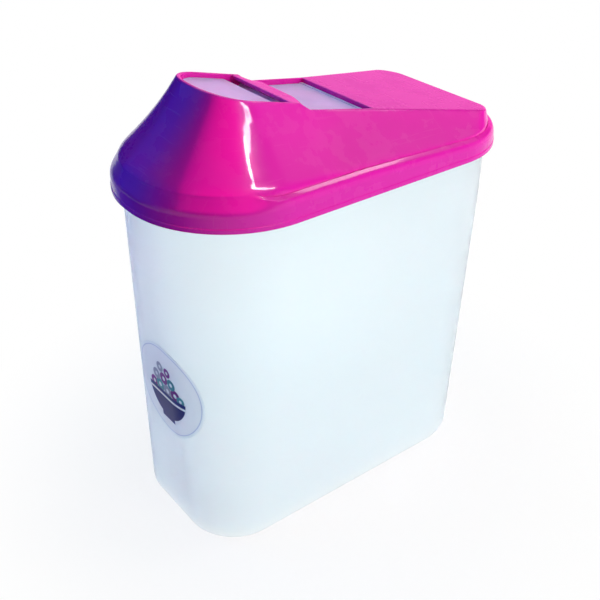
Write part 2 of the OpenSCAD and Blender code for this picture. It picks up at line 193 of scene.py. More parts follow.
class KeeperStage(bpy.types.PropertyGroup):
    """Camera and light."""

    azimuth: angle("Azimuth", "The camera's place round the object", 51.8)
    elevation: angle("Elevation", "The camera above the horizon", 31.0)
    roll: angle("Roll", "The camera's turn about its own line", 0.3)
    distance: length("Distance", "From the camera to its target", 0.5116)
    target_y: length("Target place", "Target behind the middle", 0.0055)
    target_z: length("Target height", "Target above the base", 0.1115)
    focal: FloatProperty(name="Focal length", description="In millimetres, on a 36 mm sensor", default=55.72)
    shift_x: FloatProperty(name="Shift X", description="Share of the frame's width", default=-0.0272)
    shift_y: FloatProperty(name="Shift Y", description="Share of the frame's width", default=-0.0358)


# ---------- curves and outlines ----------


def mixed(a, b, t):
    return a + (b - a) * t


def share_of(value, first, last):
    """How far a value has come from first to last, within 0 and 1."""
    return min(max((value - first) / (last - first), 0), 1)


def eased(share):
    """A share that starts and ends softly."""
    return share * share * (3 - 2 * share)


def spaced(first, last, steps):
    return [mixed(first, last, i / steps) for i in range(steps + 1)]


def turns(first, last, steps):
    """Angles from one to another, given in degrees, in radians."""
    return [math.radians(a) for a in spaced(first, last, steps)]


def arc(cx, cy, r, first, last, steps):
    """Points round a centre, from one angle to another, in degrees."""
    return [(cx + r * math.cos(a), cy + r * math.sin(a)) for a in turns(first, last, steps)]


def quarter(r, angle):
    """Step along a quarter round, as (inwards, downwards)."""
    return r * (1 - math.cos(angle)), r * (1 - math.sin(angle))


def rounded_half(hw, hl, front, rear, side=()):
    """Right half of an outline with round corners, from front to rear, with points on its side."""
    return (arc(hw - front, front - hl, front, -90, 0, FRONT_STEPS) + [(hw, y) for y in side]
            + arc(hw - rear, hl - rear, rear, 0, 90, REAR_STEPS))


def bezier(a, b, c, t):
    """Point of the curve that leaves a towards b and arrives at c."""
    return tuple((1 - t) ** 2 * p + 2 * t * (1 - t) * q + t ** 2 * r for p, q, r in zip(a, b, c))


def towards(a, b, reach):
    """The point that lies reach from a on the way to b."""
    share = reach / max(math.dist(a, b), SEAM)
    return tuple(mixed(p, q, share) for p, q in zip(a, b))


def softened(points, steps=4):
    """A polyline of (x, y, radius) whose inner corners are rounded by their radius."""
    path = [points[0][:2]]
    for before, here, after in zip(points, points[1:], points[2:]):
        p, q, r = before[:2], here[:2], after[:2]
        reach = min(here[2], MOST_ROUNDED * math.dist(p, q), MOST_ROUNDED * math.dist(q, r))
        if reach < SEAM:
            path.append(q)
        else:
            first, last = towards(q, p, reach), towards(q, r, reach)
            path += [bezier(first, q, last, t) for t in spaced(0, 1, steps)]
    return path + [points[-1][:2]]


def filled(path, most):
    """The path with further points wherever a stretch is longer than most."""
    out = [path[0]]
    for a, b in zip(path, path[1:]):
        steps = max(1, math.ceil(math.dist(a, b) / most))
        out += [tuple(mixed(p, q, i / steps) for p, q in zip(a, b)) for i in range(1, steps + 1)]
    return out


def spline(knots, t):
    """Smooth curve through (t, value) knots."""
    last = len(knots) - 1
    k = min(max(sum(t >= knot[0] for knot in knots) - 1, 0), last - 1)

    def slope(i):
        a, b = knots[max(i - 1, 0)], knots[min(i + 1, last)]
        return (b[1] - a[1]) / (b[0] - a[0])

    (t0, v0), (t1, v1) = knots[k], knots[k + 1]
    w = t1 - t0
    s = (t - t0) / w
    return ((1 + 2 * s) * (1 - s) ** 2 * v0 + s * (1 - s) ** 2 * w * slope(k)
            + s * s * (3 - 2 * s) * v1 + s * s * (s - 1) * w * slope(k + 1))


def polyline(points, y):
    """Height at y on a polyline of (y, z)."""
    for (y0, z0), (y1, z1) in zip(points, points[1:]):
        if y <= y1:
            return mixed(z0, z1, (y - y0) / (y1 - y0))
    return points[-1][1]


def ring(half):
    """A closed outline from its right half, with points added on the middle plane."""
    half = [(0, *half[0][1:])] + list(half) + [(0, *half[-1][1:])]
    return half + [(-x, y, z) for x, y, z in reversed(half)]


def level(half, z):
    """A closed outline at one height, from its right half."""
    return ring([(x, y, z) for x, y in half])


def middle_line(points):
    """An outline pressed onto the middle plane, which closes a solid with strips across it."""
    return [(0, y, z) for _, y, z in points]


class Form:
    """Places and outlines that the pieces share, worked out from the sizes."""

    LIFT = 0.3 * MM         # from the deck up to the hood's foot
    RIM_END = 0.8 * MM      # from the end of the nose's rim to the pivot
    CHAMFER = 0.2 * MM      # from the bridge bar to the end of the chamfer behind it
    HUB_WALL = 0.3 * MM     # plastic round the trunnions
    KNEE = 4.5 * MM         # from the flap's knee to the bar
    TROUGH_DEEP = 1.3 * MM  # room under the hub
    TROUGH_LEAD = 0.2 * MM  # from the trough's front to the knee
    TROUGH_RUN = MM         # from the pivot to the rear end of the trough's bottom
    MOUTH_GAP = 0.4 * MM    # from the mouth to the trough's wall
    WELL_GAP = 0.7 * MM     # under the pressed pad
    WELL_LEAD = 0.4 * MM    # from the start of the well's level floor to the pressed pad's end
    STEEP = 0.1 * MM        # half the run of a steep step in the bay's floor
    NOSE_POWER = 2.3        # 2 makes the nose's round end an ellipse, more makes it squarer
    NOSE_FIRST = 4          # angle of the nose's first point beside the middle
    SIDE_POINTS = 6         # further points along the plate's side
    PAD_POINTS = (0.3, 0.65)    # points beside the thumb pad, as shares of its length
    # share of the hood's height, share of the way from its foot to its top edge
    HOOD = ((0, 0), (0.05, 0), (0.08, 0.004), (0.13, 0.032), (0.19, 0.10), (0.3, 0.25), (0.5, 0.5),
            (0.75, 0.77), (1, 1))

    def __init__(self, scene):
        b, lid, flap = self.b, self.lid, self.flap = scene.keeper_body, scene.keeper_lid, scene.keeper_flap
        self.rim_z = b.height
        self.taper_z = b.height - b.collar_h
        self.skirt_out = b.bead_out + lid.skirt_gap + lid.wall
        self.skirt_z = self.rim_z - lid.skirt_drop
        self.seat_z = self.rim_z + lid.seat_gap
        self.deck_z = self.seat_z + lid.wall
        self.hood_z = self.deck_z + self.LIFT
        self.nose_hw = lid.nose_w / 2
        self.pivot_y = -flap.pivot_back
        self.nose_back = self.pivot_y - self.RIM_END
        self.pivot_z = self.rim_z + flap.pivot_rise
        self.bar_front = self.pivot_y - flap.bar_w / 2
        self.bar_rear = self.pivot_y + flap.bar_w / 2
        self.chamfer_end = self.bar_rear + self.CHAMFER
        self.hub_r = flap.trunnion_r + self.HUB_WALL
        self.trough_z = self.pivot_z - self.hub_r - self.TROUGH_DEEP
        self.knee_y = self.bar_front - self.KNEE
        self.trough_front = self.knee_y - self.TROUGH_LEAD
        self.mouth_rear = self.trough_front - lid.bay_wall - self.MOUTH_GAP
        self.flap_half = self.nose_hw - lid.wall - flap.gap
        self.flap_end = lid.step_y - flap.gap
        # the thumb pad's lower rear edge from the pivot, closed and pressed
        tail_y = self.flap_end - self.pivot_y
        tail_z = self.plate(self.flap_end) - flap.pad_sunk - flap.thick - self.pivot_z
        turn = flap.swing
        open_y = tail_y * math.cos(turn) + tail_z * math.sin(turn)
        self.well_y = self.pivot_y + open_y - self.WELL_LEAD
        self.well_z = self.pivot_z + tail_z * math.cos(turn) - tail_y * math.sin(turn) - self.WELL_GAP
        spread = (lid.plate_front_w - lid.nose_w) / 2 / (lid.step_y - self.nose_back)
        self.slim = spread * (tail_y - open_y)
        self.plate_rear_y = b.collar_len / 2 - lid.plate_rear_in

    # the two sloping planes of the lid's top
    def rim(self, y):
        return self.rim_z + self.lid.nose_rise - math.tan(self.lid.nose_tilt) * (y - self.nose_back)

    def plate(self, y):
        return self.rim_z + self.lid.plate_rise - math.tan(self.lid.plate_fall) * (y - self.lid.step_y)

    def top(self, y):
        """Height of the hood's top at y: the nose's rim, a short chamfer, then the plate's plane."""
        if y <= self.nose_back:
            return self.rim(y)
        if y >= self.chamfer_end:
            return self.plate(y)
        share = share_of(y, self.nose_back, self.chamfer_end)
        return mixed(self.rim(self.nose_back), self.plate(self.chamfer_end), share)

    # the body's outline, for t from 0 at the base to 1 in the collar
    def grow(self, z):
        h, m = self.b.bend, self.taper_z
        short = m - z if z < m - h else 0 if z > m + h else (m + h - z) ** 2 / (4 * h)
        return 1 - short / m

    def body_ring(self, out, z):
        b, t = self.b, self.grow(z)
        hw, hl = mixed(b.base_w, b.collar_w, t) / 2 + out, mixed(b.base_len, b.collar_len, t) / 2 + out
        front = mixed(b.base_front_r, b.collar_front_r, t) + out
        rear = mixed(b.base_rear_r, b.collar_rear_r, t) + out
        return level(rounded_half(hw, hl, front, rear), z)

    # the lid's outlines, all with the same number of points
    def side_ys(self):
        beside_pad = [mixed(self.bar_rear, self.lid.step_y, share) for share in self.PAD_POINTS]
        return [self.nose_back, self.chamfer_end] + beside_pad + [self.lid.step_y]

    def lid_half(self, out):
        b = self.b
        hl, rear = b.collar_len / 2 + out, b.collar_rear_r + out
        rear_ys = spaced(self.lid.step_y, hl - rear, self.SIDE_POINTS + 1)[1:-1]
        return rounded_half(b.collar_w / 2 + out, hl, b.collar_front_r + out, rear, self.side_ys() + rear_ys)

    def plate_hw(self, y):
        lid = self.lid
        return mixed(lid.plate_front_w, lid.plate_rear_w,
                     (y - lid.step_y) / (self.plate_rear_y - lid.step_y)) / 2

    def edge_hw(self, y):
        """Half width of the hood's top edge between nose and step."""
        return mixed(self.nose_hw, self.lid.plate_front_w / 2, share_of(y, self.nose_back, self.lid.step_y))

    def nose_half(self, ins):
        """The nose's round end in plan, moved inwards by ins."""
        lid, power = self.lid, 2 / self.NOSE_POWER
        points = []
        for a in turns(self.NOSE_FIRST, 90, FRONT_STEPS):
            s, c = math.sin(a), max(math.cos(a), 0)
            points.append(((self.nose_hw - ins) * s ** power,
                           lid.nose_round - lid.nose_tip - (lid.nose_round - ins) * c ** power))
        return points

    def top_half(self, ins, drop=0.0):
        """The hood's top edge, moved inwards by ins and down by drop."""
        lid = self.lid
        cy = self.plate_rear_y - lid.plate_rear_r
        cx = self.plate_hw(cy) - lid.plate_rear_r
        plan = (self.nose_half(ins) + [(self.edge_hw(y) - ins, y) for y in self.side_ys()]
                + [(self.plate_hw(y) - ins, y) for y in spaced(lid.step_y, cy, self.SIDE_POINTS + 1)[1:-1]]
                + arc(cx, cy, lid.plate_rear_r - ins, 0, 90, REAR_STEPS))
        return [(x, y, self.top(y) - drop) for x, y in plan]

    # the bay that the flap lies in
    def bay_half(self, flare, ys, end_y):
        """Plan of the bay, widened by flare, with points on its sides at ys."""
        ins = self.lid.wall - flare
        return self.nose_half(ins) + [(self.edge_hw(y) - ins, y) for y in ys + [end_y]]

    def ledge(self, y):
        """Height of the ledge under the flap's front half."""
        return self.rim(y) - (self.flap.sunk + self.flap.thick + self.flap.ledge_gap)

    def bay_floor(self, y):
        if y < self.trough_front:
            return self.ledge(y)
        return polyline([(self.trough_front, self.trough_z), (self.pivot_y + self.TROUGH_RUN, self.trough_z),
                         (self.well_y, self.well_z), (self.lid.step_y + MM, self.well_z)], y)

    def floor_ys(self):
        """Where the bay's floor bends, and the floor of the block round the bay."""
        steps = [place + side for place in (self.trough_front - self.lid.bay_wall, self.trough_front)
                 for side in (-self.STEEP, self.STEEP)]
        return sorted(steps + [self.nose_back, self.pivot_y + self.TROUGH_RUN, self.chamfer_end, self.well_y])

    # the body's front wall
    def front_wall(self, z):
        """Half width of the wall's flat part, radius of its corners and how far in front it stands."""
        b, t = self.b, self.grow(z)
        r = mixed(b.base_front_r, b.collar_front_r, t)
        return mixed(b.base_w, b.collar_w, t) / 2 - r, r, mixed(b.base_len, b.collar_len, t) / 2

    def wall_point(self, along, z, out):
        """Point at height z, so far along the wall from the front's middle, moved outwards by out."""
        flat, r, hl = self.front_wall(z)
        if abs(along) < flat:
            return (along, -hl - out, z)
        a = (abs(along) - flat) / r
        return (math.copysign(flat + (r + out) * math.sin(a), along), r - hl - (r + out) * math.cos(a), z)

    def wall_place(self, x, y, z):
        """Distance along the front wall from its middle to a point on it."""
        flat, r, hl = self.front_wall(z)
        if abs(x) < flat:
            return x
        return math.copysign(flat + r * math.atan2(abs(x) - flat, r - hl - y), x)


# ---------- modelling helpers ----------


def choose(piece):
    bpy.ops.object.select_all(action="DESELECT")
    piece.select_set(True)
    bpy.context.view_layer.objects.active = piece


def loft(name, rings, closed=True):
    """A grid wrapped through rings of equal length, welded along its seam and at its ends."""
    columns, rows = len(rings[0]), len(rings)
    bpy.ops.object.select_all(action="DESELECT")
    bpy.ops.mesh.primitive_grid_add(x_subdivisions=columns, y_subdivisions=rows - 1, size=2)
    piece = bpy.context.object
    piece.name = name
    piece.data.uv_layers.remove(piece.data.uv_layers[0])
    for v in piece.data.vertices:
        column = round((v.co.x + 1) / 2 * columns)
        row = round((v.co.y + 1) / 2 * (rows - 1))
        v.co = rings[row][column % columns]
    bpy.ops.object.mode_set(mode="EDIT")
    bpy.ops.mesh.select_all(action="SELECT")
    bpy.ops.mesh.remove_doubles(threshold=SEAM)
    if closed:
        bpy.ops.mesh.select_all(action="DESELECT")
        bpy.ops.mesh.select_mode(type="EDGE")
        bpy.ops.mesh.select_non_manifold()
        bpy.ops.mesh.fill_holes(sides=0)
    bpy.ops.mesh.select_all(action="SELECT")
    bpy.ops.mesh.normals_make_consistent(inside=False)
    bpy.ops.object.mode_set(mode="OBJECT")
    return piece


def across_loft(name, rings):
    """A loft whose ends close with strips across the middle plane."""
    return in_triangles(loft(name, [middle_line(rings[0])] + rings + [middle_line(rings[-1])], closed=False))


def hoop(name, rings):
    """A loft whose last ring meets its first."""
    return in_triangles(loft(name, rings + [rings[0]], closed=False))


def in_triangles(piece):
    """Booleans on slightly twisted faces come out clean once the faces are triangles."""
    choose(piece)
    bpy.ops.object.mode_set(mode="EDIT")
    bpy.ops.mesh.select_all(action="SELECT")
    bpy.ops.mesh.quads_convert_to_tris(quad_method="BEAUTY", ngon_method="BEAUTY")
    bpy.ops.object.mode_set(mode="OBJECT")
    return piece


def rod(name, r, half_len, y, z, sides=64):
    """A cylinder along X."""
    bpy.ops.object.select_all(action="DESELECT")
    bpy.ops.mesh.primitive_cylinder_add(vertices=sides, radius=r, depth=2 * half_len, location=(0, y, z),
                                        rotation=(0, math.pi / 2, 0))
    piece = bpy.context.object
    piece.name = name
    bpy.ops.object.transform_apply(location=True, rotation=True, scale=True)
    return piece


def combine(piece, tool, operation):
    """Applies a boolean with a tool, which is used up."""
    modifier = piece.modifiers.new(operation.lower(), "BOOLEAN")
    modifier.operation = operation
    modifier.solver = "EXACT"
    modifier.use_hole_tolerant = True
    modifier.object = tool
    choose(piece)
    bpy.ops.object.modifier_apply(modifier=modifier.name)
    bpy.data.objects.remove(tool)
    return piece


def finish_mesh(piece, sharp=35):
    """Welds, points the faces outwards and shades smooth up to an angle."""
    choose(piece)
    bpy.ops.object.mode_set(mode="EDIT")
    bpy.ops.mesh.select_all(action="SELECT")
    bpy.ops.mesh.remove_doubles(threshold=SEAM)
    bpy.ops.mesh.normals_make_consistent(inside=False)
    bpy.ops.object.mode_set(mode="OBJECT")
    bpy.ops.object.shade_smooth_by_angle(angle=math.radians(sharp))
    modifier = piece.modifiers.new("weighted", "WEIGHTED_NORMAL")
    modifier.keep_sharp = True
    modifier.weight = 60
    bpy.ops.object.modifier_apply(modifier=modifier.name)
    return piece


def stand_in(piece, body, node, material):
    """Puts a finished piece in its node's place."""
    piece.data.materials.clear()
    piece.data.materials.append(material)
    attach(piece, body)
    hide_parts(node)


# ---------- finishes ----------


class Wiring:
    """Adds nodes to a node tree. An input is given as a number, a colour or another node's output."""

    def __init__(self, tree):
        self.tree = tree

    def add(self, kind, inputs=None, **settings):
        node = self.tree.nodes.new(kind)
        for name, value in settings.items():
            setattr(node, name, value)
        for name, value in (inputs or {}).items():
            socket = node.inputs[name]
            if isinstance(value, bpy.types.NodeSocket):
                self.tree.links.new(value, socket)
            else:
                socket.default_value = value
        return node

    def calc(self, operation, *values):
        return self.add("ShaderNodeMath", dict(enumerate(values)), operation=operation).outputs[0]

    def product(self, first, second):
        return self.calc("MULTIPLY", first, second)

    def highest(self, first, *others):
        for other in others:
            first = self.calc("MAXIMUM", first, other)
        return first

    def ramp(self, value, low, high, first=0.0, last=1.0, smooth=True):
        kind = "SMOOTHSTEP" if smooth else "LINEAR"
        given = {"Value": value, "From Min": low, "From Max": high, "To Min": first, "To Max": last}
        return self.add("ShaderNodeMapRange", given, interpolation_type=kind).outputs["Result"]

    def noise(self, place, scale, detail=2.0, rough=0.5):
        given = {"Vector": place, "Scale": scale, "Detail": detail, "Roughness": rough}
        return self.add("ShaderNodeTexNoise", given).outputs["Fac"]

    def blend(self, share, first, second):
        given = {0: share, 6: first, 7: second}
        return self.add("ShaderNodeMix", given, data_type="RGBA").outputs[2]

    def marks(self, grain, scratches):
        given = {"Grain": grain, "Scratches": scratches}
        return self.add("ShaderNodeGroup", given, node_tree=moulded_surface()).outputs

    def seen(self):
        """1 for what is seen directly, in a reflection or through a clear piece."""
        rays = self.add("ShaderNodeLightPath").outputs
        return self.highest(*(rays[f"Is {kind} Ray"] for kind in ("Camera", "Glossy", "Transmission")))

    def glow(self, tint):
        return self.add("ShaderNodeEmission", {"Color": (*tint, 1), "Strength": 1.0})

    def finish(self, shader, output="ShaderNodeOutputMaterial"):
        self.add(output, {"Surface": shader.outputs[0]})

    def finish_between(self, share, first, second):
        given = {0: share, 1: first.outputs[0], 2: second.outputs[0]}
        self.finish(self.add("ShaderNodeMixShader", given))


def group(name, inputs, outputs):
    """A node group with its sockets: inputs as (name, kind, default), outputs as (name, kind)."""
    tree = bpy.data.node_groups.new(name, "ShaderNodeTree")
    for label, kind, default in inputs:
        socket = tree.interface.new_socket(label, in_out="INPUT", socket_type=kind)
        socket.default_value = default
    for label, kind in outputs:
        tree.interface.new_socket(label, in_out="OUTPUT", socket_type=kind)
    wiring = Wiring(tree)
    return tree, wiring, wiring.add("NodeGroupInput").outputs, wiring.add("NodeGroupOutput")


FLOAT, VECTOR = "NodeSocketFloat", "NodeSocketVector"
PEEL_DEEP, RIPPLE_DEEP, SCRATCH_DEEP = 0.02 * MM, 0.08 * MM, 0.004 * MM     # depths of the marks in plastic
FLOW_SCALE = (22, 14, 34)   # of the clouds where the plastic has pooled
# scratches: turn, scale along each axis
STROKES = ((0.4, (900, 26, 60)), (1.3, (30, 800, 90)), (2.2, (60, 40, 1000)))
SOFT_EDGE = 0.004       # half the softness of a printed edge, as a share of the label


def moulded_surface():
    """Marks that moulding and handling leave on plastic, as masks and a normal."""
    found = bpy.data.node_groups.get("moulded surface")
    if found:
        return found
    tree, w, given, out = group("moulded surface", [("Grain", FLOAT, 0.3), ("Scratches", FLOAT, 0.3)],
                                [("Flow", FLOAT), ("Handling", FLOAT), ("Wear", FLOAT), ("Normal", VECTOR)])
    place = w.add("ShaderNodeTexCoord").outputs["Object"]
    flow_place = w.add("ShaderNodeMapping", {"Vector": place, "Scale": FLOW_SCALE}).outputs[0]
    flow = w.ramp(w.noise(flow_place, 1, 3, 0.55), 0.32, 0.68)
    handling = w.ramp(w.noise(place, 55, 5, 0.6), 0.4, 0.7)
    strokes = []
    for turn, stretch in STROKES:
        turned = {"Vector": place, "Rotation": (turn, turn * 0.6, turn), "Scale": stretch}
        spot = w.add("ShaderNodeMapping", turned).outputs[0]
        strokes.append(w.ramp(w.noise(spot, 1, 2, 0.5), 0.66, 0.74))
    wear = w.highest(*strokes)
    peel, ripple = w.noise(place, 900, 2, 0.5), w.noise(place, 130, 2, 0.5)
    height = w.calc("ADD", w.product(peel, PEEL_DEEP), w.product(ripple, RIPPLE_DEEP))
    dented = w.calc("SUBTRACT", w.product(height, given["Grain"]),
                    w.product(w.product(wear, SCRATCH_DEEP), given["Scratches"]))
    bump = w.add("ShaderNodeBump", {"Strength": 1.0, "Distance": 1.0, "Height": dented})
    for label, value in (("Flow", flow), ("Handling", handling), ("Wear", wear), ("Normal", bump.outputs[0])):
        tree.links.new(value, out.inputs[label])
    return tree


def round_mark():
    """Mask of a round mark on a label, with a soft edge, in the label's own coordinates."""
    found = bpy.data.node_groups.get("round mark")
    if found:
        return found
    inputs = [("Place", VECTOR, (0, 0, 0)), ("Centre", VECTOR, (0.5, 0.5, 0)), ("Radius", FLOAT, 0.1)]
    tree, w, given, out = group("round mark", inputs, [("Mask", FLOAT)])
    gap = w.add("ShaderNodeVectorMath", {0: given["Place"], 1: given["Centre"]}, operation="DISTANCE")
    inside = w.calc("SUBTRACT", given["Radius"], gap.outputs["Value"])
    tree.links.new(w.ramp(inside, -SOFT_EDGE, SOFT_EDGE), out.inputs["Mask"])
    return tree


def new_material(name):
    material = bpy.data.materials.new(name)
    material.use_nodes = True
    material.node_tree.nodes.clear()
    return material, Wiring(material.node_tree)


def finish_material(w, **inputs):
    """Adds the shader and the output. Input names are written with underscores for spaces."""
    given = {name.replace("_", " "): value for name, value in inputs.items()}
    w.finish(w.add("ShaderNodeBsdfPrincipled", given))


def rgba(value, share=1.0):
    return (*[c * share for c in value], 1.0)


def worn_roughness(w, marks, smooth, handled, wear):
    """Roughness between two values where hands have been, and more along scratches."""
    return w.calc("ADD", w.ramp(marks["Handling"], 0, 1, smooth, handled), w.product(marks["Wear"], wear))


def lid_plastic(finish):
    """Opaque glossy magenta polypropylene."""
    material, w = new_material("magenta plastic")
    marks = w.marks(grain=0.35, scratches=0.5)
    tone = w.blend(w.product(marks["Flow"], 0.22), rgba(finish.lid), rgba(finish.lid_deep))
    tone = w.blend(w.product(marks["Handling"], 0.01), tone, rgba((0.85, 0.55, 0.75)))
    rough = worn_roughness(w, marks, 0.24, 0.34, 0.08)
    finish_material(w, Base_Color=tone, Roughness=rough, Normal=marks["Normal"], IOR=1.49,
                    Specular_IOR_Level=0.1, Coat_Weight=0.35, Coat_Roughness=0.05)
    return material


def translucent_plastic(name, tint, scratches, pooled, depth, rough, ior, transmission):
    """Translucent polypropylene, darker by the share pooled where it has flowed together."""
    material, w = new_material(name)
    marks = w.marks(grain=0.5, scratches=scratches)
    tone = w.blend(w.product(marks["Flow"], depth), rgba(tint), rgba(tint, pooled))
    finish_material(w, Base_Color=tone, Roughness=worn_roughness(w, marks, *rough, 0.1),
                    Normal=marks["Normal"], IOR=ior, Transmission_Weight=transmission, Specular_IOR_Level=0.5)
    return material


def body_plastic(finish):
    return translucent_plastic("frosted plastic", finish.body, scratches=0.6, pooled=0.94, depth=0.35,
                               rough=(0.42, 0.52), ior=1.2, transmission=0.85)


def flap_plastic(finish):
    return translucent_plastic("lilac plastic", finish.flap, scratches=0.5, pooled=0.9, depth=0.4,
                               rough=(0.3, 0.4), ior=1.4, transmission=0.6)


RING = (0.465, 0.474)   # inner and outer radius of the thin line round the print, as shares of the label
HOLE = 0.35             # hole in each round piece, as a share of its radius
# round pieces heaped in the bowl on the label: across, upwards, radius
PIECES = ((0.3, 0.5, 0.06), (0.41, 0.52, 0.07), (0.54, 0.51, 0.07), (0.66, 0.52, 0.065),
          (0.73, 0.49, 0.05), (0.36, 0.62, 0.06), (0.49, 0.63, 0.065), (0.61, 0.62, 0.06),
          (0.44, 0.74, 0.055), (0.56, 0.73, 0.05))


def sticker_paper(finish):
    """Clear printed film with a bowl of cereal and a pale border."""
    material, w = new_material("printed label")
    marks = w.marks(grain=0.25, scratches=0.3)
    place = w.add("ShaderNodeTexCoord").outputs["UV"]
    fibre = w.noise(place, 160, 4, 0.6)
    ground = rgba(finish.sticker)

    def mark(x, y, radius):
        given = {"Place": place, "Centre": (x, y, 0), "Radius": radius}
        return w.add("ShaderNodeGroup", given, node_tree=round_mark()).outputs[0]

    def band(value, low, high):
        """Mask of a stretch with soft ends."""
        return w.product(w.ramp(value, low - SOFT_EDGE, low + SOFT_EDGE),
                         w.ramp(value, high - SOFT_EDGE, high + SOFT_EDGE, 1.0, 0.0))

    tone = w.blend(w.ramp(fibre, 0.35, 0.65, 0.0, 0.1), ground, rgba(finish.sticker, 0.92))
    inks = [rgba(ink) for ink in (finish.purple, finish.teal, finish.grey)]
    for i, (x, y, size) in enumerate(PIECES):
        tone = w.blend(mark(x, y, size), tone, inks[i % len(inks)])
        tone = w.blend(mark(x, y, size * HOLE), tone, ground)
    across, upright, _ = w.add("ShaderNodeSeparateXYZ", {"Vector": place}).outputs
    bowl = w.product(mark(0.5, 0.47, 0.29), band(upright, 0.0, 0.47))
    foot = w.product(band(across, 0.39, 0.61), band(upright, 0.15, 0.21))
    tone = w.blend(w.highest(bowl, foot), tone, rgba(finish.navy))
    tone = w.blend(w.product(bowl, band(upright, 0.4, 0.425)), tone, ground)
    for ink, radius in zip((finish.ring, finish.border), RING):
        tone = w.blend(w.calc("SUBTRACT", 1.0, mark(0.5, 0.5, radius)), tone, rgba(ink))
    finish_material(w, Base_Color=tone, Roughness=w.ramp(fibre, 0.3, 0.7, 0.32, 0.42), Normal=marks["Normal"],
                    IOR=1.2, Transmission_Weight=0.8, Coat_Weight=0.2, Coat_Roughness=0.2)
    return material


# ---------- the container's body ----------


class KEEPER_OT_body(bpy.types.Operator):
    """Model the tapered body with its rim bead and foot ring"""

    bl_idname = "keeper.body"
    bl_label = "Body"

    ROW = 4 * MM            # greatest distance between two rings
    HOLLOW = 4 * MM         # how far the foot ring's hollow is stepped before it closes
    SOFT = 0.5 * MM         # rounding of the foot ring
    # rim bead: share of its reach, share of its height left above, rounding
    BEAD = ((0, 1, 0.5 * MM), (0.85, 0.8, 0.6 * MM), (1, 0.5, 0.6 * MM), (1, 0, 0.7 * MM))
    LIP = 0.6 * MM          # rounding of the rim's inner edge
    BELOW = 2 * MM          # straight wall kept below the bead
    INSIDE = 3 * MM         # straight wall kept inside the rim

    def execute(self, context):
        form = Form(context.scene)
        rings = [form.body_ring(out, z) for out, z in filled(self.profile(form), self.ROW)]
        body = loft("container_body_shell", rings)
        finish_mesh(body, sharp=30)
        stand_in(body, "container", "container_body", body_plastic(context.scene.keeper_finish))
        return {"FINISHED"}

    def profile(self, form):
        """Section of the wall as (outwards, height): under the foot, up the outside, down the inside."""
        b, rim = form.b, form.rim_z
        foot_in = b.base_fillet + b.foot_w
        inner_r = b.base_fillet - b.wall
        inner_floor = b.foot_rise + b.floor_t
        foot = softened([(-foot_in - self.HOLLOW, b.foot_rise, 0),
                         (-foot_in - b.foot_rise, b.foot_rise, self.SOFT),
                         (-foot_in, 0, self.SOFT), (-b.base_fillet, 0, 0)])
        fillet = arc(-b.base_fillet, b.base_fillet, b.base_fillet, -90, 0, 8)
        bead = softened([(0, rim - b.bead_h - self.BELOW, 0)]
                        + [(out * b.bead_out, rim - left * b.bead_h, r) for out, left, r in self.BEAD]
                        + [(-b.wall, rim, self.LIP), (-b.wall, rim - self.INSIDE, 0)])
        inside = arc(-b.wall - inner_r, inner_floor + inner_r, inner_r, 0, -90, 6)
        floor = [(-b.wall - inner_r - self.BELOW, inner_floor)]
        return foot[:-1] + fillet + bead + inside + floor


# ---------- the lid ----------


